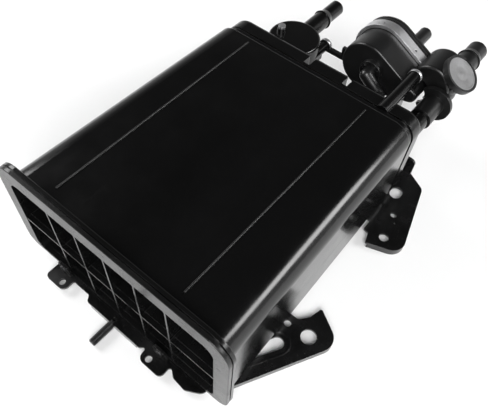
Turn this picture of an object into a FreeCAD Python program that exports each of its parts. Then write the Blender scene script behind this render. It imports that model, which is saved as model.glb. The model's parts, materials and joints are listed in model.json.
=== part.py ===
import FreeCAD, Part
import math
import os

import Sketcher

Vector = FreeCAD.Vector
Rotation = FreeCAD.Rotation

# Charcoal vapour canister of a car's fuel system, in millimetres.
# +Y runs from the ribbed end cover to the hose ports, +X to the right seen from the cover, +Z up.
# Z = 0 is the surface that the downturned hems of the steel brackets rest on.

DIMENSIONS = [
    # row frame: the design's X and Y centre, taken off every sub-part
    ("frame_x", 17.83), ("frame_y", 195.75),
    # rim and ribbed end cover
    ("rim_half", 125.5), ("rim_low", 8.85), ("rim_high", 130.5), ("rim_round", 22), ("rim_foot_round", 13),
    ("lip_thick", 3.4), ("groove_deep", 1.8), ("groove_wide", 1.2), ("flange_back", 8.2),
    ("mouth_half", 111), ("mouth_low", 13.2), ("mouth_high", 113.4), ("mouth_round", 11),
    ("tub_wall", 1.3), ("tub_back", 43), ("tub_panel", 2.6),
    ("rib_pitch", 32.3), ("rib_thick", 1.7), ("shelf_mid", 58.2), ("ledge_deep", 5.2), ("ledge_step", 0.9),
    # moulded case
    ("case_half_near", 119.5), ("case_half_far", 114.6), ("case_low_near", 8.95), ("case_low_far", 11),
    ("case_high_near", 118.65), ("case_high_far", 118.65), ("case_end", 269), ("case_round", 20),
    ("case_foot_round", 14), ("wall", 2.3), ("bead_half", 0.8), ("bead_high", 0.7),
    ("shoulder_end", 275), ("shoulder_half", 113.2), ("shoulder_high", 115.6), ("shoulder_low", 12.4),
    ("head_end", 297), ("head_half", 113.6), ("head_high", 113.8), ("head_low", 13.5), ("head_round", 5.5),
    ("split_left", -72.7), ("split_right", 66.7), ("split_thick", 2.4), ("split_near", 49),
    # packing of the three chambers
    ("gap", 0.35), ("bed_near", 76.5), ("bed_far", 272), ("felt_thick", 5), ("plate_near", 66),
    ("plate_thick", 4), ("plate_hole", 4.2), ("plate_pitch", 13.5),
    ("spring_coil", 9.5), ("spring_wire", 1.1),
    # purge dome and its hose barb
    ("dome_x", -49.6), ("dome_y", 310.2), ("dome_r", 27.5), ("dome_low", 52), ("dome_high", 110.5),
    ("pin_x", -65.9), ("pin_y", 309.3), ("purge_x", -51), ("purge_z", 100), ("purge_r", 8.4),
    ("purge_ridge", 10.7), ("purge_ridge_y", 365.5), ("purge_tip", 396), ("purge_bore", 6.1),
    # posts that carry the valve
    ("post_long_x", 76.3), ("post_long_z", 113), ("post_long_r", 6.4),
    ("post_short_x", -27.4), ("post_short_z", 94), ("post_short_r", 5.4), ("post_end", 338), ("arm", 4),
    # leak-check valve
    ("valve_x", 24.8), ("valve_z", 96.3), ("valve_r", 27.7), ("tail_x", 78.4), ("tail_z", 90.6), ("tail_r", 7.9),
    ("valve_front", 335), ("valve_split", 373), ("clip_front", 368.5), ("clip_back", 377.7), ("cover_back", 390),
    ("axis_x", 33), ("axis_z", 98.6), ("elbow_x", 52), ("elbow_y", 324.6), ("elbow_r", 6.8), ("elbow_bore", 4.4),
    ("stub_x", 50.0), ("stub_z", 108.6), ("stub_r", 7), ("stub_tip", 412.3),
    # fresh-air drum, its leaning neck with the cap, and its hose barb
    ("drum_x", 89.2), ("drum_z", 102), ("drum_r", 20.4), ("drum_front", 352), ("drum_back", 390),
    ("foot_x", 102.5), ("foot_z", 88), ("foot_r", 11.4), ("collar_r", 18.7),
    ("cap_x", 111.3), ("cap_y", 369), ("cap_z", 118.5), ("lean_x", 0.514), ("lean_y", 0.027), ("lean_z", 0.857),
    ("cap_r", 17.4), ("cap_rim", 19.9), ("neck_r", 14.6), ("vent_x", 104.8), ("vent_z", 110.5), ("vent_r", 10.1),
    ("vent_ridge", 12.4), ("vent_ridge_y", 401.4), ("vent_tip", 424.7), ("vent_bore", 7.8),
    # steel brackets
    ("steel", 2.5), ("plate_top", 8.0), ("stud_x", -2.5), ("stud_z", 4.6), ("stud_r", 3.98),
    ("stud_tip", -33.2), ("lip_y", -9.6), ("ear_hole", 3.25),
]

doc = FreeCAD.newDocument("canister")
sheet = doc.addObject("Spreadsheet::Sheet", "dim")
D = {}
for row, (word, value) in enumerate(DIMENSIONS, 1):
    sheet.set(f"A{row}", word)
    sheet.set(f"B{row}", str(value))
    sheet.setAlias(f"B{row}", word)
    D[word] = float(value)
doc.recompute()


def ex(text):
    """Turn sheet words in a formula into references to the sheet."""
    out = []
    word = ""
    for letter in str(text) + " ":
        if letter.isalnum() or letter == "_":
            word += letter
            continue
        out.append("dim." + word if word in D else word)
        out.append(letter)
        word = ""
    return "".join(out).strip()


gauge = doc.addObject("App::FeaturePython", "gauge")
gauge.addProperty("App::PropertyFloat", "value")


def num(text):
    """The value of a formula of sheet words, for choosing edges and starting a sketch."""
    gauge.setExpression("value", ex(text))
    gauge.recompute()
    return gauge.value


TURN = {"x": Rotation(Vector(0, 1, 0), 90), "y": Rotation(Vector(1, 0, 0), -90), "z": Rotation(),
        "lean": Rotation(Vector(0, 0, 1), Vector(D["lean_x"], D["lean_y"], D["lean_z"]))}


def bind(item, prop, formula):
    item.setExpression(prop, ex(formula))


def put(item, x, y, z, turn=None):
    """Place an item by three formulas."""
    if turn is not None:
        item.Placement = FreeCAD.Placement(Vector(), turn)
    for axis, formula in zip("xyz", (x, y, z)):
        bind(item, "Placement.Base." + axis, formula)
    return item


def box(x0, x1, y0, y1, z0, z1):
    item = doc.addObject("Part::Box", "block")
    for prop, low, high in (("Length", x0, x1), ("Width", y0, y1), ("Height", z0, z1)):
        bind(item, prop, f"({high}) - ({low})")
    return put(item, x0, y0, z0)


def rod(r, axis, x, y, z, length):
    item = doc.addObject("Part::Cylinder", "rod")
    bind(item, "Radius", r)
    bind(item, "Height", length)
    return put(item, x, y, z, TURN[axis])


def cone(r_near, r_far, axis, x, y, z, length):
    item = doc.addObject("Part::Cone", "cone")
    bind(item, "Radius1", r_near)
    bind(item, "Radius2", r_far)
    bind(item, "Height", length)
    return put(item, x, y, z, TURN[axis])


def torus(r, r_wire, axis, x, y, z):
    item = doc.addObject("Part::Torus", "ring")
    bind(item, "Radius1", r)
    bind(item, "Radius2", r_wire)
    return put(item, x, y, z, TURN[axis])


def fuse(*items):
    item = doc.addObject("Part::MultiFuse", "fuse")
    item.Shapes = list(items)
    return item


def group(items):
    item = doc.addObject("Part::Compound", "group")
    item.Links = list(items)
    return item


def cut(base, *tools):
    """Cut each tool in turn."""
    for tool in tools:
        item = doc.addObject("Part::Cut", "cut")
        item.Base = base
        item.Tool = tool
        base = item
    return base


def common(first, second):
    item = doc.addObject("Part::Common", "common")
    item.Base = first
    item.Tool = second
    return item


def fillet(base, r, pick):
    """Round the edges of a base that pick accepts."""
    doc.recompute()
    chosen = [i for i, edge in enumerate(base.Shape.Edges, 1) if pick(edge)]
    item = doc.addObject("Part::Fillet", "fillet")
    item.Base = base
    item.Edges = [(i, num(r), num(r)) for i in chosen]
    return item


def along(axis, edge):
    ends = edge.Vertexes
    if len(ends) != 2:
        return False
    step = ends[1].Point - ends[0].Point
    return step.Length > 1e-6 and abs(abs(step.normalize().dot(axis)) - 1) < 1e-4


def edge_on(edge, axis, value):
    """True if the whole edge lies on the plane axis = value."""
    box_of = edge.BoundBox
    low = getattr(box_of, axis.upper() + "Min")
    high = getattr(box_of, axis.upper() + "Max")
    return abs(low - value) < 0.02 and abs(high - value) < 0.02


def extrude(sketch, direction, length):
    item = doc.addObject("Part::Extrusion", "extrude")
    item.Base = sketch
    item.DirMode = "Custom"
    item.Dir = direction
    bind(item, "LengthFwd", length)
    item.Solid = True
    return item


def size_constraint(sketch, kind, where, formula, name):
    """Add a named size to a sketch and bind it to the sheet."""
    at = sketch.addConstraint(Sketcher.Constraint(kind, *where, num(formula)))
    sketch.renameConstraint(at, name)
    sketch.setExpression("Constraints." + name, ex(formula))


def line(sketch, a, b):
    return sketch.addGeometry(Part.LineSegment(Vector(*a, 0), Vector(*b, 0)), False)


def arc(sketch, centre, r, start, end):
    circle = Part.Circle(Vector(*centre, 0), Vector(0, 0, 1), r)
    return sketch.addGeometry(Part.ArcOfCircle(circle, math.radians(start), math.radians(end)), False)


def upright_sketch(y):
    """A sketch whose plane is the X-Z plane at a formula y."""
    sketch = doc.addObject("Sketcher::SketchObject", "section")
    sketch.Placement = FreeCAD.Placement(Vector(), Rotation(Vector(1, 0, 0), 90))
    bind(sketch, "Placement.Base.y", y)
    return sketch


def frame(half, low, high, top_round, foot_round, y):
    """Rounded rectangle in the X-Z plane, symmetric about X = 0."""
    sketch = upright_sketch(y)
    w, b, t, rt, rf = (num(v) for v in (half, low, high, top_round, foot_round))
    foot = line(sketch, (-w + rf, b), (w - rf, b))
    right = line(sketch, (w, b + rf), (w, t - rt))
    top = line(sketch, (w - rt, t), (-w + rt, t))
    left = line(sketch, (-w, t - rt), (-w, b + rf))
    foot_right = arc(sketch, (w - rf, b + rf), rf, -90, 0)
    top_right = arc(sketch, (w - rt, t - rt), rt, 0, 90)
    top_left = arc(sketch, (-w + rt, t - rt), rt, 90, 180)
    foot_left = arc(sketch, (-w + rf, b + rf), rf, 180, 270)
    ring = [foot, foot_right, right, top_right, top, top_left, left, foot_left]
    for a, c in zip(ring, ring[1:] + ring[:1]):
        sketch.addConstraint(Sketcher.Constraint("Tangent", a, 2, c, 1))
    for flat in (foot, top):
        sketch.addConstraint(Sketcher.Constraint("Horizontal", flat))
    for wall in (left, right):
        sketch.addConstraint(Sketcher.Constraint("Vertical", wall))
    size_constraint(sketch, "Radius", (top_right,), top_round, "top_right_r")
    size_constraint(sketch, "Radius", (top_left,), top_round, "top_left_r")
    size_constraint(sketch, "Radius", (foot_right,), foot_round, "foot_right_r")
    size_constraint(sketch, "Radius", (foot_left,), foot_round, "foot_left_r")
    size_constraint(sketch, "DistanceX", (-1, 1, right, 1), half, "right_wall")
    size_constraint(sketch, "DistanceX", (left, 1, -1, 1), half, "left_wall")
    size_constraint(sketch, "DistanceY", (-1, 1, foot, 1), low, "underside")
    size_constraint(sketch, "DistanceY", (-1, 1, top, 1), high, "topside")
    return sketch


def slab(half, low, high, top_round, foot_round, y0, y1):
    """A rounded rectangle carried from y0 to y1."""
    return extrude(frame(half, low, high, top_round, foot_round, y0), Vector(0, 1, 0), f"({y1}) - ({y0})")


def taper(near, far):
    """Ruled loft between two frames."""
    item = doc.addObject("Part::Loft", "taper")
    item.Sections = [frame(*near), frame(*far)]
    item.Solid = True
    item.Ruled = True
    return item


def drop(grow, y0, y1):
    """The valve's pear-shaped outline, grown by a margin, carried from y0 to y1."""
    sketch = upright_sketch(y0)
    big, small = f"valve_r + ({grow})", f"tail_r + ({grow})"
    cx, cz, tx, tz, rb, rs = (num(v) for v in ("valve_x", "valve_z", "tail_x", "tail_z", big, small))
    lean = math.degrees(math.atan2(tz - cz, tx - cx))
    open_angle = math.degrees(math.acos((rb - rs) / math.hypot(tx - cx, tz - cz)))
    up, down = lean + open_angle, lean - open_angle

    def at(x, z, r, angle):
        return (x + r * math.cos(math.radians(angle)), z + r * math.sin(math.radians(angle)))

    head = arc(sketch, (cx, cz), rb, up, down + 360)
    foot = line(sketch, at(cx, cz, rb, down), at(tx, tz, rs, down))
    tail = arc(sketch, (tx, tz), rs, down, up)
    roof = line(sketch, at(tx, tz, rs, up), at(cx, cz, rb, up))
    ring = [head, foot, tail, roof]
    for a, c in zip(ring, ring[1:] + ring[:1]):
        sketch.addConstraint(Sketcher.Constraint("Tangent", a, 2, c, 1))
    size_constraint(sketch, "Radius", (head,), big, "head_r")
    size_constraint(sketch, "Radius", (tail,), small, "tail_end_r")
    size_constraint(sketch, "DistanceX", (-1, 1, head, 3), "valve_x", "head_x")
    size_constraint(sketch, "DistanceY", (-1, 1, head, 3), "valve_z", "head_z")
    size_constraint(sketch, "DistanceX", (-1, 1, tail, 3), "tail_x", "tail_end_x")
    size_constraint(sketch, "DistanceY", (-1, 1, tail, 3), "tail_z", "tail_end_z")
    return extrude(sketch, Vector(0, 1, 0), f"({y1}) - ({y0})")


def stamping(points, z0, z1):
    """Flat plate with the outline points (x, y, corner radius), from z0 to z1."""
    sketch = doc.addObject("Sketcher::SketchObject", "outline")
    bind(sketch, "Placement.Base.z", z0)
    spots = [(num(x), num(y)) for x, y, _ in points]
    for a, b in zip(spots, spots[1:] + spots[:1]):
        line(sketch, a, b)
    for i in range(len(points)):
        sketch.addConstraint(Sketcher.Constraint("Coincident", i, 2, (i + 1) % len(points), 1))
    for i, (x, y, _) in enumerate(points):
        size_constraint(sketch, "DistanceX", (-1, 1, i, 1), x, f"x{i}a")
        size_constraint(sketch, "DistanceY", (-1, 1, i, 1), y, f"y{i}a")
    plate = extrude(sketch, Vector(0, 0, 1), f"({z1}) - ({z0})")
    doc.recompute()
    chosen = []
    for i, edge in enumerate(plate.Shape.Edges, 1):
        if not along(Vector(0, 0, 1), edge):
            continue
        here = edge.Vertexes[0].Point
        for (x, y), (_, _, r) in zip(spots, points):
            if r and math.hypot(here.x - x, here.y - y) < 1e-3:
                chosen.append((i, r, r))
    if not chosen:
        return plate
    item = doc.addObject("Part::Fillet", "rounded")
    item.Base = plate
    item.Edges = chosen
    return item


def coil(r, wire, y0, y1, turns, x, z):
    """Round-wire compression spring along +Y."""
    helix = doc.addObject("Part::Helix", "helix")
    bind(helix, "Radius", r)
    bind(helix, "Height", f"({y1}) - ({y0}) - 2 * ({wire})")
    bind(helix, "Pitch", f"(({y1}) - ({y0}) - 2 * ({wire})) / {turns}")
    circle = doc.addObject("Part::Circle", "wire")
    bind(circle, "Radius", wire)
    put(circle, r, 0, 0, Rotation(Vector(1, 0, 0), 90))
    doc.recompute()
    sweep = doc.addObject("Part::Sweep", "coil")
    sweep.Sections = [circle]
    sweep.Spine = (helix, [f"Edge{i + 1}" for i in range(len(helix.Shape.Edges))])
    sweep.Solid = True
    sweep.Frenet = True
    return put(sweep, x, f"({y0}) + ({wire})", z, TURN["y"])


def barb(x, z, root, name):
    """Hose barb along +Y, solid: a stout neck up to the ridge, then the tube. The bore is cut afterwards."""
    r, ridge, ridge_y, tip = name + "_r", name + "_ridge", name + "_ridge_y", name + "_tip"
    return fuse(
        rod(f"({r} + {ridge}) / 2", "y", x, root, z, f"{ridge_y} - ({root})"),
        rod(r, "y", x, f"{ridge_y} - 1", z, f"{tip} - {ridge_y} - 0.6"),
        cone(ridge, r, "y", x, ridge_y, z, 7),
        cone(r, f"{r} - 1", "y", x, f"{tip} - 1.6", z, 1.6),
    )


def leaning(r, start, length):
    """Round bar on the axis of the cap, from a height measured from the cap's face."""
    return rod(r, "lean", f"cap_x + lean_x * ({start})", f"cap_y + lean_y * ({start})",
               f"cap_z + lean_z * ({start})", length)


finished = []


def finish(name, item, x="-frame_x", y="-frame_y", z=0):
    """Name a sub-part and move it into the row frame."""
    item.Label = name
    for axis, formula in zip("xyz", (x, y, z)):
        bind(item, "Placement.Base." + axis, formula)
    finished.append((name, item))
    return item


# ---- moulded case -------------------------------------------------------------------------

def cavity(clear):
    """The inside of the case walls, smaller by a clearance."""
    inset = f"wall + ({clear})"
    return taper(
        (f"case_half_near - ({inset})", f"case_low_near + {inset}", f"case_high_near - ({inset})",
         f"case_round - ({inset})", f"case_foot_round - ({inset})", "-1"),
        (f"case_half_far - ({inset})", f"case_low_far + {inset}", f"shoulder_high - ({inset})",
         f"case_round - ({inset})", f"case_foot_round - ({inset})", "case_end + 4.2"),
    )


HEAD_BLOCKS = [("-head_half", "-17.5"), ("-10.5", "28"), ("34", "head_half")]
BOSSES = [(-92, 74), (40, 62), (-92, 249), (64, 257)]


def head_blocks():
    """Three raised domes that close the far ends of the chambers, hollow inside."""
    blocks = []
    for x0, x1 in HEAD_BLOCKS:
        shape = slab("head_half", "head_low", "head_high", "case_round - 2", "case_foot_round - 1",
                     "shoulder_end + 4", "head_end")
        block = common(shape, box(x0, x1, "shoulder_end", "head_end + 1", 0, 130))
        block = fillet(block, num("head_round"), lambda edge: edge_on(edge, "y", num("head_end")))
        hollow = box(f"{x0} + 4", f"{x1} - 4", "shoulder_end + 1", "head_end - 2.6",
                     "head_low + 14", "head_high - 14")
        blocks.append((block, hollow))
    return blocks


def case():
    walls = taper(
        ("case_half_near", "case_low_near", "case_high_near", "case_round", "case_foot_round",
         "lip_thick + groove_wide"),
        ("case_half_far", "case_low_far", "case_high_far", "case_round", "case_foot_round", "case_end"),
    )
    walls = fillet(walls, 1.6, lambda edge: edge_on(edge, "y", num("case_end")))
    flange = slab("rim_half", "rim_low", "rim_high", "rim_round", "rim_foot_round",
                  "lip_thick + groove_wide + 0.02", "flange_back")
    flange = fillet(flange, 0.9, lambda edge: edge_on(edge, "y", num("flange_back")))
    shoulder = slab("shoulder_half", "shoulder_low", "shoulder_high", "case_round - 1", "case_foot_round",
                    "case_end - 4", "shoulder_end")
    neck = slab("head_half - 2", "head_low + 1.5", "head_high - 1.6", "case_round - 3", "case_foot_round - 2",
                "shoulder_end - 1", "shoulder_end + 8")
    blocks = head_blocks()
    post = rod("post_long_r", "y", "post_long_x", "shoulder_end + 1", "post_long_z", "post_end - shoulder_end - 1")
    gusset = box("post_long_x + 3.2", "post_long_x + 5.2", "head_end - 4", "post_end - 24", 96, "post_long_z")
    raised = taper(
        ("case_half_near", "case_low_near + 20", "case_high_near + bead_high", "case_round", "case_foot_round",
         "lip_thick + groove_wide"),
        ("case_half_far", "case_low_far + 20", "case_high_far + bead_high", "case_round", "case_foot_round",
         "case_end"),
    )
    beads = [common(raised, box(f"{x} - bead_half", f"{x} + bead_half", 18, 262, 112, 125))
             for x in ("split_left", "split_right")]
    feet = [rod(7.5, "z", x, y, "plate_top + 0.04", 6) for x, y in BOSSES]
    ties = [box(x0, x1, "shoulder_end", "head_end - 6", "head_low + 8", 92)
            for x0, x1 in ((-19, -9), (26.5, 35.5))]
    dome_neck = rod(9, "y", "dome_x", "head_end - 4", 84, 9.5)
    pipe_neck = rod(10, "y", "elbow_x", "head_end - 4", 84, 9)
    vent_neck = rod("foot_r - 2", "y", "foot_x", "head_end - 4", "foot_z", "post_end - head_end + 6")
    box_and_head = fuse(walls, flange, shoulder, neck, *(b for b, _ in blocks), *ties, *beads, *feet)
    body = fuse(box_and_head, post, gusset, dome_neck, pipe_neck, vent_neck)
    room = cut(
        fuse(cavity(0), slab("shoulder_half - wall - 1", "shoulder_low + 3", "shoulder_high - 3.4",
                             "case_round - 4", "case_foot_round - 2", "case_end", "shoulder_end + 5"),
             *(h for _, h in blocks)),
        *(box(f"{x} - split_thick / 2", f"{x} + split_thick / 2", "split_near", 320, 0, 140)
          for x in ("split_left", "split_right")),
    )
    holes = [rod(6.4, "y", "dome_x", "head_end - 10", 84, 60), rod(7, "y", "elbow_x", "head_end - 10", 84, 60),
             rod("foot_r - 4.4", "y", "foot_x", "head_end - 10", "foot_z", 80),
             rod(2.1, "y", "post_long_x", "post_end - 15", "post_long_z", 20)]
    foot_holes = [rod(2.1, "z", x, y, 0, 10.9) for x, y in BOSSES]
    return finish("case", cut(body, room, group(holes + foot_holes)))


# ---- ribbed end cover ---------------------------------------------------------------------

def end_cover():
    lip = slab("rim_half", "rim_low", "rim_high", "rim_round", "rim_foot_round", 0, "lip_thick")
    lip = fillet(lip, 0.9, lambda edge: edge_on(edge, "y", 0))
    weld = slab("rim_half - groove_deep", "rim_low + 0.6", "rim_high - groove_deep", "rim_round - 1.5",
                "rim_foot_round - 1.5", "lip_thick - 0.5", "lip_thick + groove_wide")
    tub = slab("mouth_half + tub_wall", "mouth_low - tub_wall", "mouth_high + tub_wall", "mouth_round + 1",
               "mouth_round", 0.5, "tub_back")
    mouth = slab("mouth_half", "mouth_low", "mouth_high", "mouth_round", "mouth_round - 2", -1,
                 "tub_back - tub_panel")
    ribs = [box(f"{i} * rib_pitch - rib_thick / 2", f"{i} * rib_pitch + rib_thick / 2", 0.35,
                "tub_back - 1", "mouth_low - 1", "mouth_high + 1") for i in range(-2, 3)]
    ribs.append(box("-mouth_half - 1", "mouth_half + 1", 0.35, "tub_back - 1", "shelf_mid - rib_thick / 2",
                    "shelf_mid + rib_thick / 2"))
    ledges = [box("-mouth_half - 1", "mouth_half + 1", "ledge_deep", "tub_back - 1",
                  "shelf_mid - rib_thick / 2", "shelf_mid + rib_thick / 2 + ledge_step"),
              box("7 - mouth_half", "mouth_half - 7", "ledge_deep", "tub_back - 1",
                  "mouth_low - 1", "mouth_low + ledge_step")]
    shell = cut(fuse(lip, weld, tub), mouth)
    return finish("end_cover", fuse(shell, *ribs, *ledges))


# ---- what fills the chambers --------------------------------------------------------------

CHAMBERS = {
    "left": ("-130", "split_left - split_thick / 2 - gap"),
    "mid": ("split_left + split_thick / 2 + gap", "split_right - split_thick / 2 - gap"),
    "right": ("split_right + split_thick / 2 + gap", "130"),
}


def packing(chamber, y0, y1, clear="gap"):
    x0, x1 = CHAMBERS[chamber]
    return common(cavity(clear), box(x0, x1, y0, y1, 0, 140))


def carbon_bed(chamber):
    return finish("carbon_bed_" + chamber, packing(chamber, "bed_near", "bed_far - felt_thick - gap"))


def far_felt(chamber):
    return finish("far_felt_" + chamber, packing(chamber, "bed_far - felt_thick", "bed_far"))


def near_felt(chamber):
    return finish("near_felt_" + chamber,
                  packing(chamber, "plate_near + plate_thick + gap", "bed_near - gap", "gap + 0.3"))


HOLE_COLUMNS = {"left": (-95.5, 2), "mid": (-3, 9), "right": (92.5, 2)}
SPRINGS = {"left": [(-95.5, 64)], "mid": [(-34, 64), (28, 64)], "right": [(92.5, 64)]}


def retainer(chamber):
    """Grid plate that the springs press on to the packing."""
    plate = packing(chamber, "plate_near", "plate_near + plate_thick", "gap + 0.3")
    middle, columns = HOLE_COLUMNS[chamber]
    seats = [(x, z) for x, z in SPRINGS[chamber]]
    holes = []
    for i in range(columns):
        for j in range(7):
            x = f"{middle} + ({i} - {(columns - 1) / 2}) * plate_pitch"
            z = f"64.4 + ({j} - 3) * plate_pitch"
            if any(math.hypot(num(x) - sx, num(z) - sz) < 15 for sx, sz in seats):
                continue
            holes.append(rod("plate_hole", "y", x, "plate_near - 1", z, "plate_thick + 2"))
    bosses = [rod("spring_coil - spring_wire - 0.5", "y", x, "plate_near - 4", z, 5) for x, z in seats]
    return finish("retainer_" + chamber, cut(fuse(plate, *bosses), group(holes)))


def bed_spring(chamber):
    coils = [coil("spring_coil", "spring_wire", "tub_back + 0.3", "plate_near - 0.3", 4, x, z)
             for x, z in SPRINGS[chamber]]
    return finish("bed_spring_" + chamber, group(coils))


# ---- purge dome ---------------------------------------------------------------------------

def purge_dome():
    """Round chamber with the purge barb and the short post of the valve."""
    drum = rod("dome_r", "z", "dome_x", "dome_y", "dome_low", "dome_high - dome_low")
    drum = fillet(drum, 3, lambda edge: edge_on(edge, "z", num("dome_high")))
    clear_of_head = box(-120, 40, 250, "head_end + 0.4", 0, 140)
    ear = rod(5.2, "z", "pin_x", "pin_y", "dome_high - 14", 18)
    post = rod("post_short_r", "y", "post_short_x", "dome_y", "post_short_z", "post_end - dome_y")
    web = box("post_short_x - 1.2", "post_short_x + 1.2", "dome_y", "post_end - 4", "post_short_z - 14", "post_short_z")
    body = fuse(drum, barb("purge_x", "purge_z", "dome_y + 15", "purge"), ear, post, web)
    room = rod("dome_r - 2.4", "z", "dome_x", "dome_y", "dome_low + 2.4", "dome_high - dome_low - 4.8")
    room = cut(room, rod(7, "z", "pin_x", "pin_y", "dome_high - 15", 20),
               box(-120, 40, 250, "head_end + 2.8", 0, 140))
    bore = rod("purge_bore", "y", "purge_x", "dome_y + 15", "purge_z", 90)
    inlet = rod(9.1, "y", "dome_x", "head_end - 4", 84, 10)
    drilled = [rod(2.3, "z", "pin_x", "pin_y", "dome_high - 12", 20),
               rod(2.1, "y", "post_short_x", "post_end - 11", "post_short_z", 14)]
    return finish("purge_dome", cut(body, clear_of_head, room, bore, inlet, group(drilled)))


def purge_seal():
    return oring("purge_seal", 10.15, 1.0, "dome_x", "head_end + 4.0", 84)


# ---- leak-check valve ---------------------------------------------------------------------

def valve_body():
    """Pear-shaped cup with its nozzle boss and the two arms that reach the posts."""
    front = drop(0, "valve_front", "valve_split - 4")
    front = fillet(front, 2.2, lambda edge: edge_on(edge, "y", num("valve_front")))
    room = drop(-2.6, "valve_front + 3", "valve_split + 1")
    shell = cut(fuse(front, drop(2.6, "valve_split - 4", "valve_split - 0.3")), room)
    boss = rod(12, "y", "axis_x", "valve_front - 3", "axis_z", 5)
    seat = rod("elbow_bore + 2", "y", "axis_x", "valve_front + 1", "axis_z", "valve_split - 10.3 - valve_front")
    y0, y1 = "post_end + 0.1", "post_end + 0.1 + arm"
    ring_long = rod("post_long_r + 0.6", "y", "post_long_x", y0, "post_long_z", "arm")
    ring_short = rod("post_short_r + 1.2", "y", "post_short_x", y0, "post_short_z", "arm")
    arms = [box("post_long_x - 5", "post_long_x + 5", y0, y1, "tail_z", "post_long_z"),
            box("post_short_x", "valve_x - 22", y0, y1, "post_short_z - 6", "post_short_z - 1"),
            box("valve_x - 31", "valve_x - 24", y0, y1, "post_short_z - 6", "post_short_z + 9")]
    holes = [rod(2.3, "y", "post_long_x", y0, "post_long_z", "arm"),
             rod(2.3, "y", "post_short_x", y0, "post_short_z", "arm"),
             rod("elbow_bore", "y", "axis_x", "valve_front - 5", "axis_z", "valve_split - valve_front - 3")]
    return finish("valve_body", cut(fuse(shell, boss, seat, ring_long, ring_short, *arms), group(holes)))


def valve_cover():
    """Ribbed rear half with the sensing stub and the guide of the poppet's stem."""
    flange = drop(2.6, "valve_split + 0.9", "valve_split + 4.4")
    neck = drop(1.4, "valve_split + 4.2", "valve_split + 6.5")
    ridges = [drop(3.1 - i % 2, f"valve_split + {6.3 + i * 1.8}", f"valve_split + {6.3 + i * 1.8 + 1.8}")
              for i in range(5)]
    back = drop(2.1, "valve_split + 15.2", "cover_back")
    room = drop(-1.2, "valve_split", "cover_back - 2.4")
    guide = rod(5, "y", "axis_x", "valve_split + 7", "axis_z", "cover_back - valve_split - 8")
    stub = rod("stub_r", "y", "stub_x", "cover_back - 1", "stub_z", "stub_tip - cover_back + 1")
    stub_bore = rod("stub_r - 2.2", "y", "stub_x", "cover_back - 8", "stub_z", "stub_tip - cover_back + 10")
    running = rod(2.56, "y", "axis_x", "valve_split", "axis_z", "cover_back - valve_split - 0.8")
    shell = cut(fuse(flange, neck, *ridges, back, stub), room)
    return finish("valve_cover", cut(fuse(shell, guide), running, stub_bore))


def valve_clip():
    """Sheet-steel channel sprung over the two flanges of the valve."""
    outer = drop(4.1, "clip_front - 1.2", "clip_back + 1.2")
    hollow = drop(2.9, "clip_front", "clip_back")
    front_open = drop(0.6, "clip_front - 2", "clip_front + 1")
    back_open = drop(1.7, "clip_back - 1", "clip_back + 2")
    below = box(-60, 140, 340, 400, 30, "valve_z - 6")
    tail_side = box("tail_x + 1", 140, 340, 400, 0, 140)
    pin_holes = [rod(1.2, "z", x, "valve_split", "valve_z + 12", 30) for x in (17.3, 58.6)]
    return finish("valve_clip", cut(outer, hollow, front_open, back_open, below, tail_side, group(pin_holes)))


def diaphragm():
    sheet_of = drop(1.5, "valve_split - 0.2", "valve_split + 0.8")
    return finish("diaphragm", cut(sheet_of, rod(13.4, "y", "axis_x", "valve_split - 5", "axis_z", 20)))


def poppet():
    face = rod(8, "y", "axis_x", "valve_split - 9", "axis_z", 2.4)
    stem = rod(2.5, "y", "axis_x", "valve_split - 8.3", "axis_z", 20.3)
    backing = rod(12.8, "y", "axis_x", "valve_split - 0.6", "axis_z", 1.8)
    return finish("poppet", fuse(face, stem, backing))


def poppet_spring():
    return finish("poppet_spring", group([coil(8, 0.55, "valve_split + 1.5", "cover_back - 2.7", 4,
                                               "axis_x", "axis_z")]))


def elbow_run(r, foot, top):
    """Round bar through the three straight runs of the elbow, with ball corners."""
    run_x, run_z = num("axis_x - elbow_x"), num("axis_z - 84")
    slope = rod(r, "z", "elbow_x", "elbow_y", 84, "sqrt((elbow_x - axis_x) ^ 2 + (axis_z - 84) ^ 2)")
    slope.Placement = FreeCAD.Placement(slope.Placement.Base, Rotation(Vector(0, 0, 1), Vector(run_x, 0, run_z)))
    corners = []
    for x, z in (("elbow_x", "84"), ("axis_x", "axis_z")):
        ball = doc.addObject("Part::Sphere", "ball")
        bind(ball, "Radius", r)
        corners.append(put(ball, x, "elbow_y", z))
    lower = rod(r, "y", "elbow_x", foot, 84, f"elbow_y - ({foot})")
    upper = rod(r, "y", "axis_x", "elbow_y", "axis_z", f"({top}) - elbow_y")
    return fuse(slope, *corners, lower, upper)


def valve_elbow():
    """Moulded pipe from the head up to the boss of the valve."""
    outside = elbow_run("elbow_r", "head_end + 6", "valve_front - 3.1")
    socket = rod(12.6, "y", "elbow_x", "head_end + 0.4", 84, 9)
    inside = elbow_run("elbow_bore", "head_end + 3", "valve_front + 2")
    over_neck = rod(10.1, "y", "elbow_x", "head_end - 1", 84, 6.6)
    groove = rod(11.6, "y", "elbow_x", "head_end + 2", 84, 2.4)
    return finish("valve_elbow", cut(fuse(outside, socket), inside, over_neck, groove))


# ---- fresh-air drum -----------------------------------------------------------------------

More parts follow.
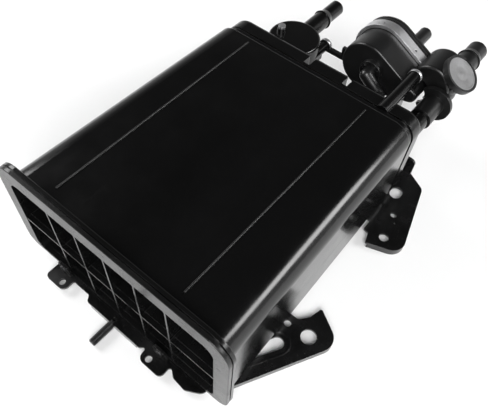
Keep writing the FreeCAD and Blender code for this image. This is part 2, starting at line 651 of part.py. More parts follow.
def vent_housing():
    """Drum on a foot tube, with a leaning neck for the cap and the fresh-air barb out of its side."""
    drum = rod("drum_r", "y", "drum_x", "drum_front", "drum_z", "drum_back - drum_front")
    drum = fillet(drum, 3, lambda edge: edge_on(edge, "y", num("drum_front")) or edge_on(edge, "y", num("drum_back")))
    collar = rod("collar_r", "y", "foot_x", 345, "foot_z", 4.5)
    foot = rod("foot_r", "y", "foot_x", 318, "foot_z", 54)
    rim = leaning("cap_rim", -6, 6.4)
    neck = leaning("neck_r", -24, 20)
    outlet = barb("vent_x", "vent_z", "cap_y", "vent")
    body = fuse(cut(fuse(drum, collar), drop(5, "drum_front - 10", 400)), foot, rim, neck, outlet)
    room = cut(rod("drum_r - 2.4", "y", "drum_x", "drum_front + 2.4", "drum_z", "drum_back - drum_front - 4.8"),
               drop(7.4, "drum_front - 10", 400))
    inside = leaning("neck_r - 2.2", -22, 24)
    seat = leaning("cap_r + 0.1", -2.1, 6)
    bore = rod("vent_bore", "y", "vent_x", "cap_y", "vent_z", 70)
    socket = rod("foot_r - 1.9", "y", "foot_x", 317, "foot_z", 28)
    throat = rod("foot_r - 4.4", "y", "foot_x", 317, "foot_z", 52)
    return finish("vent_housing", cut(body, room, inside, seat, bore, socket, throat))


def vent_cap():
    """Round push-in cap on the leaning neck."""
    face = fillet(leaning("cap_r", -2, 2), 0.5, lambda edge: edge.BoundBox.ZMax > num("cap_z + 8.9"))
    skirt = cut(leaning("neck_r - 2.5", -7, 5.5), leaning("neck_r - 4.2", -8, 6))
    return finish("vent_cap", cut(fuse(face, skirt), leaning(0.7, -0.9, 2)))


def vent_filter():
    """Foam pad that keeps dust out of the fresh-air path."""
    return finish("vent_filter", group([leaning("neck_r - 2.6", -21.5, 6)]))


def oring(name, r, wire, x, y, z):
    return finish(name, group([torus(r, wire, "y", x, y, z)]))


# ---- steel brackets -----------------------------------------------------------------------

def hem(x0, y0, x1, y1, thick="steel", low=0):
    """Downturned edge of a stamping, along a line on the plate."""
    run = math.hypot(num(x1) - num(x0), num(y1) - num(y0))
    turn = math.degrees(math.atan2(num(y1) - num(y0), num(x1) - num(x0)))
    item = doc.addObject("Part::Box", "hem")
    item.Length = run
    bind(item, "Width", thick)
    bind(item, "Height", f"plate_top - 0.1 - ({low})")
    item.Placement = FreeCAD.Placement(Vector(), Rotation(Vector(0, 0, 1), turn))
    return put(item, x0, y0, low)


def slot(x, y, length, wide, turn, z0, z1):
    """Round-ended slot through a plate, its middle at x, y."""
    half = (length - wide) / 2
    dx, dy = half * math.cos(math.radians(turn)), half * math.sin(math.radians(turn))
    middle = doc.addObject("Part::Box", "slot")
    middle.Length = 2 * half
    middle.Width = wide
    bind(middle, "Height", f"({z1}) - ({z0})")
    spin = Rotation(Vector(0, 0, 1), turn)
    corner = Vector(x, y, 0) + spin.multVec(Vector(-half, -wide / 2, 0))
    middle.Placement = FreeCAD.Placement(Vector(), spin)
    put(middle, corner.x, corner.y, z0)
    ends = [rod(wide / 2, "z", x + side * dx, y + side * dy, z0, f"({z1}) - ({z0})") for side in (-1, 1)]
    return fuse(middle, *ends)


def bracket_front():
    plate = stamping([
        (-84, 30, 0), (-84, -17, 5), (-59, -17, 6), (-59, -4, 2), (-38, -4, 3), (-34, "lip_y", 3),
        (33, "lip_y", 4), (38, -4, 2), (39, -17, 6), (65.5, -17, 5), (65.5, -3, 2), (74, -9.5, 4),
        (88, -11, 6), (103, -3, 8), (103, 8, 0), (80, 30, 0)], "plate_top - steel", "plate_top")
    lip = box(-30, 29, "lip_y", "lip_y + steel", 0.6, "plate_top - 1")
    uprights = []
    for x in (-71.5, 52.2):
        tab = box(x - 7.5, x + 7.5, "-steel - 0.6", -0.6, "plate_top - 1", 22)
        tab = fillet(tab, 4, lambda edge: along(Vector(0, 1, 0), edge) and edge.BoundBox.ZMin > 20)
        uprights.append(tab)
    holes = [rod("ear_hole", "z", x, -11.2, 0, 12) for x in (-66.5, 46.5)]
    rivet_holes = [rod(2.1, "y", x, -6, 16.5, 8) for x in (-71.5, 52.2)]
    stud_hole = rod("stud_r - 0.24", "y", "stud_x", "lip_y - 2", "stud_z", 8)
    shell = fuse(plate, lip, *uprights)
    return finish("bracket_front", cut(shell, group(holes + rivet_holes), stud_hole))


def inset(points, by):
    """An anticlockwise outline moved inwards, its rounded corners with it."""
    moved = []
    for i, (x, y, r) in enumerate(points):
        before, after = points[i - 1], points[(i + 1) % len(points)]
        first = Vector(x - before[0], y - before[1], 0).normalize()
        second = Vector(after[0] - x, after[1] - y, 0).normalize()
        across = Vector(-first.y - second.y, first.x + second.x, 0)
        step = across * (by / (1 + first.dot(second)))
        outward = 1 if first.x * second.y - first.y * second.x > 0 else -1
        moved.append((x + step.x, y + step.y, max(r - by * outward, 0.4) if r else 0))
    return moved


def skirt(points, where):
    """Downturned edge that follows the outline inside a region."""
    ring = cut(stamping(points, 0, "plate_top - 1"), stamping(inset(points, num("steel")), -1, "plate_top"))
    return common(ring, stamping(where, -1, "plate_top - 1"))


def bracket_near():
    outline = [
        (-101, 62, 6), (60, 44, 10), (84, 40, 8), (107, 14, 4), (117, 17.5, 3), (165.9, 107, 14), (134.2, 126, 2),
        (130.7, 111.5, 6), (123.5, 102.9, 5), (100, 104, 8), (60, 84, 10), (-101, 86, 6)]
    plate = stamping(outline, "plate_top - steel", "plate_top")
    edge = skirt(outline, [(113, 19, 0), (175, 19, 0), (175, 117, 0), (150, 117, 0), (150, 104, 0), (113, 34, 0)])
    back = hem(-96, 62.4, 56, 45.4)
    bead = cut(slot(114.2, 57.7, 58.5, 23.5, 60, "plate_top - 1", "plate_top + 0.7"),
               slot(114.2, 57.7, 55, 20, 60, "plate_top - 2", "plate_top + 2"))
    bead = common(bead, box(108, 150, 20, 100, 0, 20))
    holes = [rod(7.5, "z", 140.9, 95.6, 0, 12), rod(3.5, "z", 118.5, 94, 0, 12),
             slot(114.2, 57.7, 47, 12, 60, 0, 12)]
    screw_holes = [rod(2.3, "z", x, y, 0, 12) for x, y in BOSSES[:2]]
    return finish("bracket_near", cut(fuse(plate, edge, back, bead), *holes, group(screw_holes)))


def bracket_far():
    outline = [
        (-101, 238, 6), (60, 232, 10), (96, 226, 0), (96, 240, 2), (116, 240, 2), (116, 227, 1), (122.2, 225.9, 2),
        (125.9, 214, 1), (161.5, 226.5, 15), (137.5, 311.8, 9), (117, 322.8, 2), (96, 322.8, 6), (60, 284, 12),
        (-101, 262, 6)]
    plate = stamping(outline, "plate_top - steel", "plate_top")
    edge = skirt(outline, [(128, 205, 0), (172, 205, 0), (172, 312, 0), (134, 312, 0), (150, 240, 0), (128, 226, 0)])
    back = hem(-96, 238.4, 56, 232.8)
    tab = box(99, 117, "322.8 - steel", 322.8, "plate_top - 1", 30)
    tab = fillet(tab, 6, lambda edge: along(Vector(0, 1, 0), edge) and edge.BoundBox.ZMin > 28)
    holes = [slot(118, 289, 16, 12.6, 90, 0, 12), rod(3.3, "z", 131, 262, 0, 12), rod(1.4, "z", 137, 254, 0, 12),
             rod(5, "z", 137.6, 231.4, 0, 12)]
    screw_holes = [rod(2.3, "z", x, y, 0, 12) for x, y in BOSSES[2:]]
    return finish("bracket_far", cut(fuse(plate, edge, back, tab), *holes, group(screw_holes)))


def stud():
    """Welded stud with its head behind the bracket's lip."""
    head = rod(7, "y", "stud_x", "lip_y + steel + 0.05", "stud_z + 2.5", 2.2)
    head = common(head, box(-20, 20, -20, 20, 0.6, 5.4))
    shank = rod("stud_r", "y", "stud_x", "stud_tip", "stud_z", "lip_y - 0.05 - stud_tip")
    shank = fillet(shank, 0.9, lambda edge: edge_on(edge, "y", num("stud_tip")))
    neck = rod("stud_r - 0.3", "y", "stud_x", "lip_y - 1", "stud_z", "steel + 2")
    return finish("mounting_stud", fuse(head, shank, neck))


# ---- fasteners ----------------------------------------------------------------------------

def screw(x, y, z, axis, length, head_r=4.2):
    """Pan-head thread-forming screw, its head's underside at the given point, shank along the axis."""
    sign = {"y": -1, "z": 1}[axis]
    shank_at = {"y": (x, f"({y}) - {length}", z), "z": (x, y, f"({z}) - 0.2")}[axis]
    shank = rod(1.95, axis, *shank_at, length + 0.2)
    head_at = {"y": (x, y, z), "z": (x, y, f"({z}) - 2.4")}[axis]
    head = rod(head_r, axis, *head_at, 2.4)
    face = num(y) + 2.4 if sign < 0 else num(z) - 2.4
    head = fillet(head, 1, lambda edge: edge_on(edge, axis, face))
    recess_at = {"y": (x, f"({y}) + 1", z), "z": (x, y, f"({z}) - 2.6")}[axis]
    return cut(fuse(shank, head), rod(1.6, axis, *recess_at, 1.6))


def post_screws():
    items = [screw("post_long_x", "post_end + 0.15 + arm", "post_long_z", "y", 14),
             screw("post_short_x", "post_end + 0.15 + arm", "post_short_z", "y", 14)]
    return finish("post_screws", group(items))


def bracket_screws():
    items = [screw(x, y, "plate_top - steel - 0.05", "z", 5.2) for x, y in BOSSES]
    return finish("bracket_screws", group(items))


def dome_pin():
    head = rod(3.8, "z", "pin_x", "pin_y", "dome_high + 4.05", 1.6)
    shank = rod(2.2, "z", "pin_x", "pin_y", "dome_high - 10", 15)
    return finish("dome_pin", fuse(head, shank))


def rivets():
    items = []
    for x in (-71.5, 52.2):
        head = rod(3.4, "y", x, "-steel - 2.0", 16.5, 1.35)
        head = fillet(head, 0.9, lambda edge: edge_on(edge, "y", num("-steel - 2.0")))
        items.append(fuse(head, rod(2.0, "y", x, "-steel - 1", 16.5, "steel + 0.3")))
    return finish("clip_rivets", group(items))


# ---- build and write ----------------------------------------------------------------------

def main():
    os.makedirs("parts", exist_ok=True)
    case()
    end_cover()
    for chamber in CHAMBERS:
        carbon_bed(chamber)
        far_felt(chamber)
        near_felt(chamber)
        retainer(chamber)
        bed_spring(chamber)
    purge_dome()
    purge_seal()
    dome_pin()
    valve_body()
    valve_cover()
    valve_clip()
    diaphragm()
    poppet()
    poppet_spring()
    valve_elbow()
    oring("elbow_seal", 10.8, 0.7, "elbow_x", "head_end + 3.2", 84)
    vent_housing()
    vent_cap()
    vent_filter()
    bracket_front()
    bracket_near()
    bracket_far()
    stud()
    post_screws()
    bracket_screws()
    rivets()
    doc.recompute()
    bad = []
    whole = FreeCAD.BoundBox()
    for name, item in finished:
        shape = item.Shape
        if "Invalid" in item.State or "Error" in item.State or shape.isNull() or not shape.isValid():
            bad.append(name)
            continue
        whole.add(shape.optimalBoundingBox())
        shape.exportStep(f"parts/{name}.step")
        print(f"{name:20s} {len(shape.Solids)} {shape.Volume / 1000:9.2f} cm3")
    print("whole part", whole)
    for item in doc.Objects:
        if "Invalid" in item.State or "Error" in item.State:
            bad.append(f"{item.Name} {item.Label}")
    if bad:
        raise RuntimeError("not built: " + ", ".join(bad))


main()
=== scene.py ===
import json
import math

import bpy
from mathutils import Matrix, Vector


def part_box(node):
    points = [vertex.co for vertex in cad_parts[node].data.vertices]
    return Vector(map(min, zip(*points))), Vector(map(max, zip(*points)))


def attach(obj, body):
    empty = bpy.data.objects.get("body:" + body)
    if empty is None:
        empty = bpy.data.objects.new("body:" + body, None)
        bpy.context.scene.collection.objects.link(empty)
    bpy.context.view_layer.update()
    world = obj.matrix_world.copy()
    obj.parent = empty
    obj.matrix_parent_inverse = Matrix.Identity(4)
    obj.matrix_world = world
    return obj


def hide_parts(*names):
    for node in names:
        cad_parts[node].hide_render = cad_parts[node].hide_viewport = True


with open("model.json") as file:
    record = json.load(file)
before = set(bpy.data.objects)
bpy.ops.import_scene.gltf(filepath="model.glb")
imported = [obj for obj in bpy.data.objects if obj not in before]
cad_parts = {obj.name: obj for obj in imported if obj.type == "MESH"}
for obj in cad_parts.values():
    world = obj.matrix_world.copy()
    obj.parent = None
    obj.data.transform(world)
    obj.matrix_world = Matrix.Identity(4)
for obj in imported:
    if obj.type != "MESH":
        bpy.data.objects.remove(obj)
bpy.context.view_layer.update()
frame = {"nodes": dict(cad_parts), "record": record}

MM = 0.001

# The pieces are laid out in millimetres from the rim's centre and front face. The frame's origin is the
# middle of the footprint, which lies this far from there.
MIDDLE_X, MIDDLE_Y = 17.83, 195.75
UP = (0, 0, 1)
FORWARD = (0, 1, 0)


# ---- shader helper ------------------------------------------------------------------------

class Paint:
    """A material under construction: adds nodes to it and links them."""

    def __init__(self, name, metallic=0.0, specular=0.5, coat=0.0, coat_rough=0.1):
        self.material = bpy.data.materials.new(name)
        self.material.use_nodes = True
        self.tree = self.material.node_tree
        self.shader = self.tree.nodes["Principled BSDF"]
        self.shader.inputs["Metallic"].default_value = metallic
        self.shader.inputs["Specular IOR Level"].default_value = specular
        self.shader.inputs["Coat Weight"].default_value = coat
        self.shader.inputs["Coat Roughness"].default_value = coat_rough
        self.place = self.add("ShaderNodeTexCoord").outputs["Object"]

    def add(self, kind, **settings):
        node = self.tree.nodes.new(kind)
        for key, value in settings.items():
            setattr(node, key, value)
        return node

    def set(self, socket, value):
        """Give a socket a number, a vector or another node's output."""
        if isinstance(value, bpy.types.NodeSocket):
            self.tree.links.new(value, socket)
        else:
            socket.default_value = value

    def noise(self, scale, detail=3.0, rough=0.5, stretch=(1, 1, 1), distort=0.0):
        mapping = self.add("ShaderNodeMapping")
        self.set(mapping.inputs["Vector"], self.place)
        mapping.inputs["Scale"].default_value = stretch
        node = self.add("ShaderNodeTexNoise")
        self.set(node.inputs["Vector"], mapping.outputs["Vector"])
        node.inputs["Scale"].default_value = scale
        node.inputs["Detail"].default_value = detail
        node.inputs["Roughness"].default_value = rough
        node.inputs["Distortion"].default_value = distort
        return node.outputs["Fac"]

    def cells(self, scale):
        node = self.add("ShaderNodeTexVoronoi", feature="F1")
        self.set(node.inputs["Vector"], self.place)
        node.inputs["Scale"].default_value = scale
        return node.outputs["Distance"]

    def spread(self, value, low, high, out_low=0.0, out_high=1.0):
        """Carry the range low..high of a value to out_low..out_high, clamped."""
        node = self.add("ShaderNodeMapRange")
        for socket, number in zip(node.inputs, (value, low, high, out_low, out_high)):
            self.set(socket, number)
        return node.outputs["Result"]

    def math(self, what, a, b):
        node = self.add("ShaderNodeMath", operation=what)
        self.set(node.inputs[0], a)
        self.set(node.inputs[1], b)
        return node.outputs["Value"]

    def mix(self, amount, a, b):
        node = self.add("ShaderNodeMix", data_type="RGBA")
        self.set(node.inputs["Factor"], amount)
        first, second, result = node.inputs[6], node.inputs[7], node.outputs[2]
        self.set(first, a)
        self.set(second, b)
        return result

    def edges(self, radius, low=0.02, high=0.25):
        """1 on edges sharper than the radius, 0 on open faces."""
        soft = self.add("ShaderNodeBevel", samples=4)
        soft.inputs["Radius"].default_value = radius
        plain = self.add("ShaderNodeNewGeometry")
        dot = self.add("ShaderNodeVectorMath", operation="DOT_PRODUCT")
        self.set(dot.inputs[0], soft.outputs["Normal"])
        self.set(dot.inputs[1], plain.outputs["Normal"])
        return self.spread(self.math("SUBTRACT", 1.0, dot.outputs["Value"]), low, high)

    def bump(self, height, strength, distance, under=None):
        node = self.add("ShaderNodeBump")
        node.inputs["Strength"].default_value = strength
        node.inputs["Distance"].default_value = distance
        self.set(node.inputs["Height"], height)
        if under is not None:
            self.set(node.inputs["Normal"], under)
        return node.outputs["Normal"]

    def soft_edges(self, radius):
        node = self.add("ShaderNodeBevel", samples=4)
        node.inputs["Radius"].default_value = radius
        return node.outputs["Normal"]

    def finish(self, colour, rough, normal):
        self.set(self.shader.inputs["Base Color"], colour)
        self.set(self.shader.inputs["Roughness"], rough)
        self.set(self.shader.inputs["Normal"], normal)
        return self.material


def grey(value, tint=0.0):
    return (value, value, value * (1 + tint), 1)


# ---- materials ----------------------------------------------------------------------------

def black_moulding(name, shade, rough_low, rough_high, grain, grain_scale):
    """Black nylon: flow marks, dust and scuffs over a fine moulded grain, pale on rubbed edges."""
    p = Paint(name, specular=0.5)
    flow = p.noise(9, 4, 0.55, (1, 0.18, 1), 0.6)
    cloud = p.noise(26, 5, 0.6)
    scratch = p.spread(p.noise(95, 6, 0.75, (1, 0.04, 1), 0.3), 0.62, 0.74)
    dust = p.spread(p.noise(1700, 2, 0.5), 0.69, 0.76)
    rub = p.math("MULTIPLY", p.edges(0.5 * MM), p.spread(cloud, 0.45, 0.62))
    base = p.mix(p.spread(flow, 0.3, 0.7), grey(shade * 0.8), grey(shade * 1.35, 0.04))
    base = p.mix(p.math("MULTIPLY", dust, 0.12), base, grey(0.12))
    base = p.mix(p.math("MULTIPLY", rub, 0.55), base, grey(0.055))
    rough = p.spread(cloud, 0.3, 0.7, rough_low, rough_high)
    rough = p.math("ADD", rough, p.math("MULTIPLY", scratch, 0.1))
    rough = p.math("ADD", rough, p.math("MULTIPLY", rub, 0.2))
    normal = p.bump(p.noise(grain_scale, 3, 0.6), grain, 0.05 * MM, p.soft_edges(0.3 * MM))
    normal = p.bump(p.noise(60, 2, 0.5, (1, 0.35, 1)), 0.12, 0.12 * MM, normal)
    return p.finish(base, rough, normal)


def coated_steel(name):
    """Black electrocoat on stamped steel: orange peel, worn thin on the sheared edges."""
    p = Paint(name, specular=0.6, coat=0.25, coat_rough=0.12)
    cloud = p.noise(38, 5, 0.6)
    wear = p.math("MULTIPLY", p.edges(0.35 * MM, 0.03, 0.3), p.spread(cloud, 0.5, 0.6))
    specks = p.spread(p.noise(900, 2), 0.68, 0.74)
    base = p.mix(p.spread(cloud, 0.3, 0.7), grey(0.0022), grey(0.005, 0.05))
    base = p.mix(p.math("MULTIPLY", specks, 0.3), base, grey(0.12))
    base = p.mix(p.math("MULTIPLY", wear, 0.6), base, (0.13, 0.12, 0.115, 1))
    rough = p.math("ADD", p.spread(cloud, 0.3, 0.7, 0.16, 0.34), p.math("MULTIPLY", wear, 0.2))
    normal = p.bump(p.noise(420, 3, 0.55), 0.22, 0.06 * MM, p.soft_edges(0.5 * MM))
    return p.finish(base, rough, normal)


def zinc(name, shade, rough_low, rough_high):
    """Bright plated steel: drawing lines, cloudy spots, softened edges."""
    p = Paint(name, metallic=1.0)
    cloud = p.noise(70, 5, 0.65)
    drawn = p.noise(520, 3, 0.6, (1, 1, 0.06))
    stain = p.spread(p.noise(240, 4, 0.7), 0.6, 0.72)
    base = p.mix(p.spread(cloud, 0.3, 0.7), grey(shade * 0.82, 0.03), grey(shade * 1.1, 0.01))
    base = p.mix(p.math("MULTIPLY", stain, 0.45), base, (shade * 0.5, shade * 0.48, shade * 0.44, 1))
    rough = p.math("ADD", p.spread(drawn, 0.3, 0.7, rough_low, rough_high), p.math("MULTIPLY", stain, 0.18))
    normal = p.bump(drawn, 0.05, 0.03 * MM, p.soft_edges(0.4 * MM))
    return p.finish(base, rough, normal)


def pale_moulding(name):
    """Pale grey cap: eroded mould texture, flecked darker grey where the stipple is high."""
    p = Paint(name)
    stipple = p.noise(1500, 3, 0.6)
    cloud = p.noise(90, 4, 0.6)
    base = p.mix(p.spread(cloud, 0.3, 0.7), grey(0.17), grey(0.23, 0.02))
    # darker grey flecks that follow the stipple
    base = p.mix(p.math("MULTIPLY", p.spread(stipple, 0.56, 0.68), 0.5), base, grey(0.12))
    rough = p.spread(stipple, 0.3, 0.7, 0.42, 0.62)
    normal = p.bump(stipple, 0.5, 0.08 * MM, p.soft_edges(0.3 * MM))
    return p.finish(base, rough, normal)


def rubber(name):
    p = Paint(name, specular=0.35)
    cloud = p.noise(130, 4, 0.6)
    base = p.mix(cloud, grey(0.008), grey(0.022))
    return p.finish(base, p.spread(cloud, 0.3, 0.7, 0.5, 0.72), p.bump(p.noise(2200, 2), 0.3, 0.05 * MM))


def fibres(name):
    """Needled felt."""
    p = Paint(name, specular=0.2)
    strand = p.noise(650, 6, 0.7, (1, 0.4, 1), 1.4)
    base = p.mix(strand, (0.45, 0.43, 0.38, 1), (0.72, 0.7, 0.64, 1))
    return p.finish(base, p.spread(strand, 0.3, 0.7, 0.8, 0.98), p.bump(strand, 0.8, 0.5 * MM))


def pellets(name):
    """Packed charcoal pellets."""
    p = Paint(name, specular=0.3)
    grains = p.cells(520)
    base = p.mix(p.spread(grains, 0.1, 0.6), grey(0.02), grey(0.005))
    return p.finish(base, p.spread(p.noise(300), 0.3, 0.7, 0.6, 0.85), p.bump(grains, 0.9, 1.2 * MM))


def open_foam(name):
    p = Paint(name, specular=0.2)
    pores = p.cells(900)
    base = p.mix(p.spread(pores, 0.1, 0.5), grey(0.1), grey(0.01))
    return p.finish(base, p.spread(pores, 0.0, 0.6, 0.75, 0.95), p.bump(pores, 0.9, 0.6 * MM))


def retainer_plastic(name):
    p = Paint(name)
    cloud = p.noise(60, 4)
    return p.finish(p.mix(cloud, grey(0.03), grey(0.05)), p.spread(cloud, 0.3, 0.7, 0.4, 0.55),
                    p.bump(p.noise(900, 3), 0.2, 0.05 * MM))


def natural_plastic(name):
    p = Paint(name)
    cloud = p.noise(120, 4)
    return p.finish(p.mix(cloud, (0.6, 0.57, 0.5, 1), (0.72, 0.7, 0.63, 1)),
                    p.spread(cloud, 0.3, 0.7, 0.3, 0.42), p.bump(p.noise(1100, 3), 0.15, 0.05 * MM))


FINISHES = {
    "case_plastic": black_moulding("case_plastic", 0.0022, 0.13, 0.22, 0.08, 620),
    "cover_plastic": black_moulding("cover_plastic", 0.003, 0.2, 0.32, 0.12, 700),
    "valve_plastic": black_moulding("valve_plastic", 0.005, 0.28, 0.42, 0.25, 1300),
    "cap_plastic": pale_moulding("cap_plastic"),
    "foam": open_foam("foam"),
    "charcoal": pellets("charcoal"),
    "felt": fibres("felt"),
    "retainer_plastic": retainer_plastic("retainer_plastic"),
    "bracket_steel": coated_steel("bracket_steel"),
    "stud_steel": zinc("stud_steel", 0.07, 0.3, 0.44),
    "zinc_steel": zinc("zinc_steel", 0.8, 0.34, 0.46),
    "spring_steel": zinc("spring_steel", 0.42, 0.22, 0.32),
    "seal_rubber": rubber("seal_rubber"),
    "poppet_plastic": natural_plastic("poppet_plastic"),
}

for part in frame["record"]["subparts"]:
    mesh = frame["nodes"][part["node"]].data
    mesh.materials.clear()
    mesh.materials.append(FINISHES[part["material_slot"]])


# ---- detail pieces ------------------------------------------------------------------------

def piece(name, verts, faces, finish, turn=None, replaces=()):
    """A mesh given in millimetres, riding on the canister."""
    mesh = bpy.data.meshes.new(name)
    mesh.from_pydata([Vector(v) * MM for v in verts], [], faces)
    if turn is not None:
        mesh.transform(turn)
    for face in mesh.polygons:
        face.use_smooth = True
    mesh.set_sharp_from_angle(angle=math.radians(32))
    mesh.materials.append(FINISHES[finish])
    item = bpy.data.objects.new(name, mesh)
    bpy.context.scene.collection.objects.link(item)
    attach(item, "canister")
    if replaces:
        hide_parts(*replaces)
    return item


def turned(rows, around):
    """Closed round body about +Z. Each row is (height, radius), the radius a number or a function of the angle."""
    verts = []
    for height, radius in rows:
        for k in range(around):
            angle = 2 * math.pi * k / around
            r = radius(angle) if callable(radius) else radius
            verts.append((r * math.cos(angle), r * math.sin(angle), height))
    faces = [tuple(range(around - 1, -1, -1))]
    for i in range(len(rows) - 1):
        for k in range(around):
            a, b = i * around + k, i * around + (k + 1) % around
            faces.append((a, b, b + around, a + around))
    faces.append(tuple(range((len(rows) - 1) * around, len(rows) * around)))
    return verts, faces


def prism(outline, low, high):
    """A flat outline (x, y), anticlockwise, carried from low to high along Z."""
    n = len(outline)
    verts = [(x, y, z) for z in (low, high) for x, y in outline]
    faces = [tuple(range(n - 1, -1, -1)), tuple(range(n, 2 * n))]
    faces += [(k, (k + 1) % n, n + (k + 1) % n, n + k) for k in range(n)]
    return verts, faces


def joined(parts):
    verts, faces = [], []
    for part_verts, part_faces in parts:
        base = len(verts)
        verts += part_verts
        faces += [tuple(base + i for i in face) for face in part_faces]
    return verts, faces


def facing(where, axis, up=UP):
    """Stands a piece's own +Z on an axis at a point in millimetres."""
    z = Vector(axis).normalized()
    x = Vector(up).cross(z).normalized()
    y = z.cross(x)
    return Matrix((
        (x.x, y.x, z.x, where[0] * MM),
        (x.y, y.y, z.y, where[1] * MM),
        (x.z, y.z, z.z, where[2] * MM),
        (0, 0, 0, 1)))


def corners_mm(node):
    low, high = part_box(node)
    return low / MM, high / MM


def rolled_thread(height, length):
    """Radius of an M8 thread at a height, fading out at both ends."""
    major, root, pitch = 3.96, 3.3, 1.25

    def radius(angle):
        phase = (height / pitch + angle / (2 * math.pi)) % 1
        crest = min(1.0, max(0.0, (abs(2 * phase - 1) - 0.12) / 0.7))
        ends = min(1.0, (length - height) / 1.2) * min(1.0, height / 0.9)
        return root - 0.35 * (1 - ends) + (major - root) * crest * ends
    return radius


def weld_head(shank_z, start, end):
    """The stud's head: a disc of 7 mm radius cut flat above and below, to lie under the bracket's plate."""
    disc_r, disc_z = 7, 7.1
    levels = (0.6, 1.8, 3.0, 4.2, 5.4)
    side = [(math.sqrt(disc_r ** 2 - (disc_z - z) ** 2), z - shank_z) for z in levels]
    outline = side + [(-w, h) for w, h in reversed(side)]
    verts, faces = prism(outline, start, end)
    return [(-x, y, z) for x, y, z in verts], [tuple(reversed(face)) for face in faces]


def threaded_stud():
    """M8 stud with a rolled thread, its neck and its weld head."""
    low, high = corners_mm("mounting_stud")
    shank_z = high.z - 3.98
    length, steps = 23.55, 190
    rows = [(0.0, 2.6)]
    rows += [(i * length / steps, rolled_thread(i * length / steps, length)) for i in range(1, steps + 1)]
    rows += [(length + 0.02, 3.6), (length + 2.6, 3.6)]
    head = weld_head(shank_z, length + 2.6, length + 4.7)
    stand = facing(((low.x + high.x) / 2, low.y, shank_z), FORWARD)
    piece("stud_thread", *joined([turned(rows, 40), head]), "stud_steel", stand, ["mounting_stud"])


def screw_spots():
    """Axes (x, z) of the short and the long post's screw, and the y of their heads' tops."""
    low, high = corners_mm("post_screws")
    head_r = 4.2
    return ((low.x + head_r, 94.0), (high.x - head_r, 113.0)), high.y


def star_screws():
    """The two post screws: flanged pan heads with a six-lobed recess, and a coarse thread."""

    def lobed(size):
        return lambda angle: size * (1 + 0.17 * math.cos(6 * angle))

    def coarse(height):
        return lambda angle: 1.45 + 0.45 * abs(2 * ((height / 1.6 + angle / (2 * math.pi)) % 1) - 1) ** 2

    rows = [(-13.9, 0.5)] + [(-13.6 + 0.2 * i, coarse(-13.6 + 0.2 * i)) for i in range(67)]
    rows += [(0.02, 1.9), (0.02, 4.0), (0.2, 4.18), (0.75, 4.18), (0.95, 3.5), (1.7, 3.35), (2.15, 3.0),
             (2.36, 2.4), (2.3, lobed(1.75)), (2.1, lobed(1.6)), (0.9, lobed(1.5)), (0.85, lobed(0.6))]
    spots, top_y = screw_spots()
    for i, (x, z) in enumerate(spots):
        piece(f"post_screw_{i}", *turned(rows, 48), "zinc_steel", facing((x, top_y - 2.4, z), FORWARD),
              ["post_screws"])


LEAN = Vector((0.514, 0.027, 0.857))
CAP = Vector((111.3 - MIDDLE_X, 369 - MIDDLE_Y, 118.5))


def cap_face():
    """Pale cap: raised edge, shallow dish with two steps, and the nub of its moulding gate."""
    rows = [(-7.0, 12.0), (-2.0, 12.1), (-2.0, 17.3), (-0.45, 17.4), (-0.12, 17.25), (0.0, 16.9), (0.0, 16.1),
            (-0.1, 15.8), (-0.5, 15.6), (-0.55, 15.2), (-0.5, 8.2), (-0.62, 8.0), (-0.66, 7.6), (-0.6, 2.3),
            (-0.45, 2.0), (-0.4, 1.4), (0.0, 1.15), (0.12, 0.6)]
    piece("cap_face", *turned(rows, 96), "cap_plastic", facing(CAP, LEAN, FORWARD), ["vent_cap"])


def spokes(count, inner, outer, half_inner, half_outer, low, high):
    """Radial ribs, each from the inner to the outer radius."""
    parts = []
    for k in range(count):
        angle = 2 * math.pi * k / count
        out = Vector((math.cos(angle), math.sin(angle), 0))
        across = Vector((-math.sin(angle), math.cos(angle), 0))
        corners = [out * inner - across * half_inner, out * outer - across * half_outer,
                   out * outer + across * half_outer, out * inner + across * half_inner]
        parts.append(prism([(c.x, c.y) for c in corners], low, high))
    return parts


def neck_teeth():
    """Short ribs round the neck, under the cap's rim."""
    parts = spokes(30, 14.3, 17.6, 0.7, 0.55, -9.6, -5.9)
    piece("neck_teeth", *joined(parts), "valve_plastic", facing(CAP, LEAN, FORWARD))


def boss_rosette():
    """Ring and spokes on the valve's nozzle boss."""
    centre = (33 - MIDDLE_X, 332 - MIDDLE_Y, 98.6)
    ring = [(0.0, 12.0), (1.4, 11.7), (1.6, 11.4), (1.6, 10.9), (1.4, 10.6), (0.0, 10.5)]
    verts, faces = turned(ring, 64)
    parts = [(verts, faces[1:-1])] + spokes(12, 7.2, 10.8, 0.55, 0.55, -0.2, 1.2)
    piece("boss_rosette", *joined(parts), "valve_plastic", facing(centre, (0, -1, 0)))


def along_the_box(name, outlines, low, high, finish):
    """Bars that run along the box: each outline (x, z) is carried from low to high behind the rim's face."""
    parts = [prism([(MIDDLE_X - x, z) for x, z in outline], low, high) for outline in outlines]
    piece(name, *joined(parts), finish, facing((0, -MIDDLE_Y, 0), FORWARD))


def cell_gussets():
    """Rounded top right corner of each cell of the end cover."""
    rib_pitch, half_rib, size, top = 32.3, 0.85, 6.5, 113.6
    outlines = []
    for i in range(-2, 3):
        x = i * rib_pitch - half_rib + 0.2
        angles = [math.radians(90 - 90 * k / 8) for k in range(9)]
        outlines.append([(x, top)] + [(x - size + size * math.cos(a), top - size + size * math.sin(a))
                                      for a in angles])
    along_the_box("cell_gussets", outlines, 0.6, 39.0, "cover_plastic")


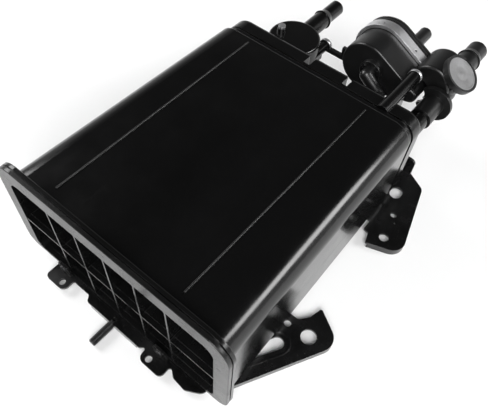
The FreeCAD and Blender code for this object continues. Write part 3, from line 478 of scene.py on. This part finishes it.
def post_bushes():
    """Bright steel bands round the valve's two screw lugs."""
    spots, top_y = screw_spots()
    for i, ((x, z), r) in enumerate(zip(spots, (6.6, 7.0))):
        rows = [(-1.6, r - 0.1), (-1.6, r + 0.2), (-1.4, r + 0.32), (1.4, r + 0.32), (1.6, r + 0.2), (1.6, r - 0.1)]
        verts, faces = turned(rows, 48)
        piece(f"post_bush_{i}", verts, faces[1:-1], "zinc_steel", facing((x, top_y - 4.5, z), FORWARD))


def seam_crowns():
    """Rounded crowns of the two seams that show the inner walls on the top."""
    half, rise, foot_z = 0.8, 0.75, 119.2
    arch = [(half * math.cos(math.pi * k / 8), rise * math.sin(math.pi * k / 8)) for k in range(9)]
    outlines = [[(x - a, b + foot_z) for a, b in arch] for x in (-72.7, 66.7)]
    # the crowns take the paler valve plastic as a painted highlight, so they read as bright lines; their round tops
    # also catch real light
    along_the_box("seam_crowns", outlines, 19.0, 261.0, "valve_plastic")


threaded_stud()
star_screws()
post_bushes()
seam_crowns()
cap_face()
neck_teeth()
boss_rosette()
cell_gussets()


# ---- stage --------------------------------------------------------------------------------

def floor():
    size = 6.0
    mesh = bpy.data.meshes.new("floor")
    corners = [(-size, -size, 0), (size, -size, 0), (size, size, 0), (-size, size, 0)]
    mesh.from_pydata(corners, [], [(0, 1, 2, 3)])
    item = bpy.data.objects.new("floor", mesh)
    bpy.context.scene.collection.objects.link(item)
    p = Paint("floor_paper", specular=0.2)
    cloud = p.noise(3, 3)
    mesh.materials.append(p.finish(p.mix(cloud, grey(0.86), grey(0.9)), p.spread(cloud, 0.3, 0.7, 0.7, 0.85),
                                   p.bump(p.noise(400, 3), 0.05, 0.1 * MM)))


def softbox(name, where, aim, width, height, power):
    lamp = bpy.data.lights.new(name, "AREA")
    lamp.shape = "RECTANGLE"
    lamp.size, lamp.size_y = width, height
    lamp.energy = power
    item = bpy.data.objects.new(name, lamp)
    item.location = where
    item.rotation_euler = (Vector(aim) - Vector(where)).to_track_quat("-Z", "Y").to_euler()
    bpy.context.scene.collection.objects.link(item)


def studio():
    """Pale room, dark overhead so that the glossy top stays black."""
    world = bpy.data.worlds.new("studio")
    world.use_nodes = True
    tree = world.node_tree
    where = tree.nodes.new("ShaderNodeTexCoord")
    split = tree.nodes.new("ShaderNodeSeparateXYZ")
    ramp = tree.nodes.new("ShaderNodeValToRGB")
    ramp.color_ramp.elements[0].position = 0.0
    ramp.color_ramp.elements[0].color = grey(0.95)
    ramp.color_ramp.elements[1].position = 0.62
    ramp.color_ramp.elements[1].color = grey(0.05)
    tree.links.new(where.outputs["Generated"], split.inputs["Vector"])
    tree.links.new(split.outputs["Z"], ramp.inputs["Fac"])
    tree.links.new(ramp.outputs["Color"], tree.nodes["Background"].inputs["Color"])
    tree.nodes["Background"].inputs["Strength"].default_value = 0.8
    bpy.context.scene.world = world
    softbox("key", (0.9, -1.3, 1.7), (0, 0, 0), 1.3, 1.3, 55)
    softbox("left", (-1.7, -0.3, 1.2), (0, 0, 0.05), 1.2, 0.8, 26)
    softbox("right", (1.6, 0.9, 1.1), (0, 0, 0.05), 1.1, 0.6, 24)
    bpy.context.scene.view_settings.view_transform = "Standard"


def camera():
    """Three-quarter view from above the cover's right corner."""
    yaw, pitch, roll = math.radians(35.71), math.radians(55.13), math.radians(4.69)
    ahead = Vector((-math.sin(yaw) * math.cos(pitch), math.cos(yaw) * math.cos(pitch), -math.sin(pitch)))
    right = ahead.cross(Vector(UP)).normalized()
    up = right.cross(ahead)
    leaned_right = math.cos(roll) * right + math.sin(roll) * up
    leaned_up = -math.sin(roll) * right + math.cos(roll) * up
    lens = bpy.data.cameras.new("camera")
    lens.lens = 40.68
    lens.sensor_width = 36
    item = bpy.data.objects.new("camera", lens)
    place = Vector((196.5 - MIDDLE_X, -97.6 - MIDDLE_Y, 479.7)) * MM
    item.matrix_world = Matrix((
        (leaned_right.x, leaned_up.x, -ahead.x, place.x),
        (leaned_right.y, leaned_up.y, -ahead.y, place.y),
        (leaned_right.z, leaned_up.z, -ahead.z, place.z),
        (0, 0, 0, 1)))
    bpy.context.scene.collection.objects.link(item)
    bpy.context.scene.camera = item


floor()
studio()
camera()
